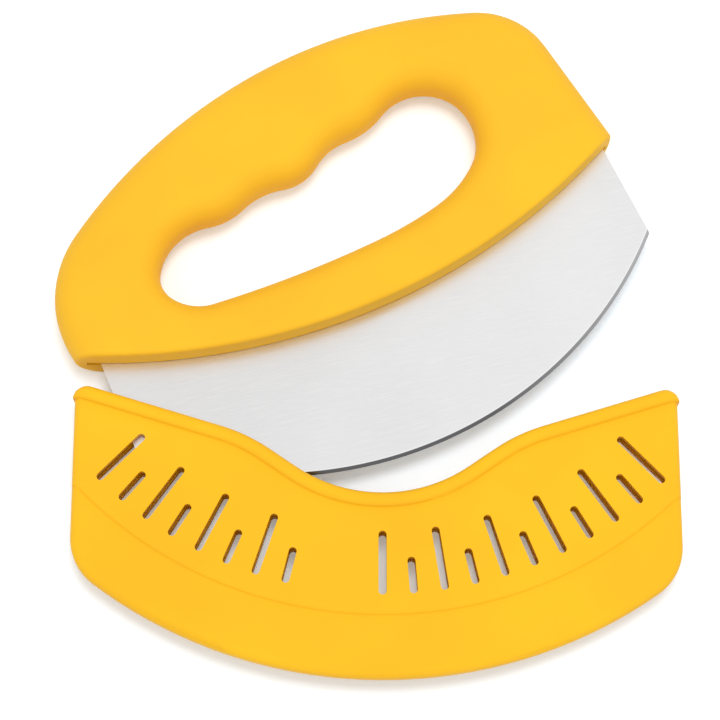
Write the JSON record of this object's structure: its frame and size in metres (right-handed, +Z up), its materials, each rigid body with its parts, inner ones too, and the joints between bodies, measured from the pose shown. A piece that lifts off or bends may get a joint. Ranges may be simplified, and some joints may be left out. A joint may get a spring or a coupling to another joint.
{
  "type": "rocking pizza knife",
  "caption": "Wide rocking kitchen knife with a curved steel blade under a looped finger-hollow handle, and a hollow slotted blade cover swung part way off.",
  "frame": {"origin": "middle of the flat on the back of the handle's lower bar, on which the knife lies, below the middle of the blade's length", "axes": "+X along the blade towards the handle's narrow tip, +Y from the cutting edge towards the grip, +Z up through the knife's thickness, away from the surface it lies on"},
  "size_m": [0.2233, 0.2235, 0.021],
  "materials": {
    "blade_steel": "fine brushing along the blade, with a ground bevel",
    "pin_steel": "plain turned steel",
    "core_plastic": "moulded plastic, hidden under the skin",
    "grip_skin": "soft matte skin",
    "cover_plastic": "satin moulded plastic"
  },
  "bodies": {
    "knife": {"blade": "blade_steel", "tang_pins": "pin_steel", "handle_core": "core_plastic", "soft_grip": "grip_skin"},
    "cover": {"blade_cover": "cover_plastic"}
  },
  "joints": [
    {"name": "cover_swing", "type": "hinge", "parent": "knife", "child": "cover", "pos_m": [-0.1059, 0.02092, 0.0105], "axis": [0, 0, 1], "range_deg": [-30, 24.4]}
  ]
}
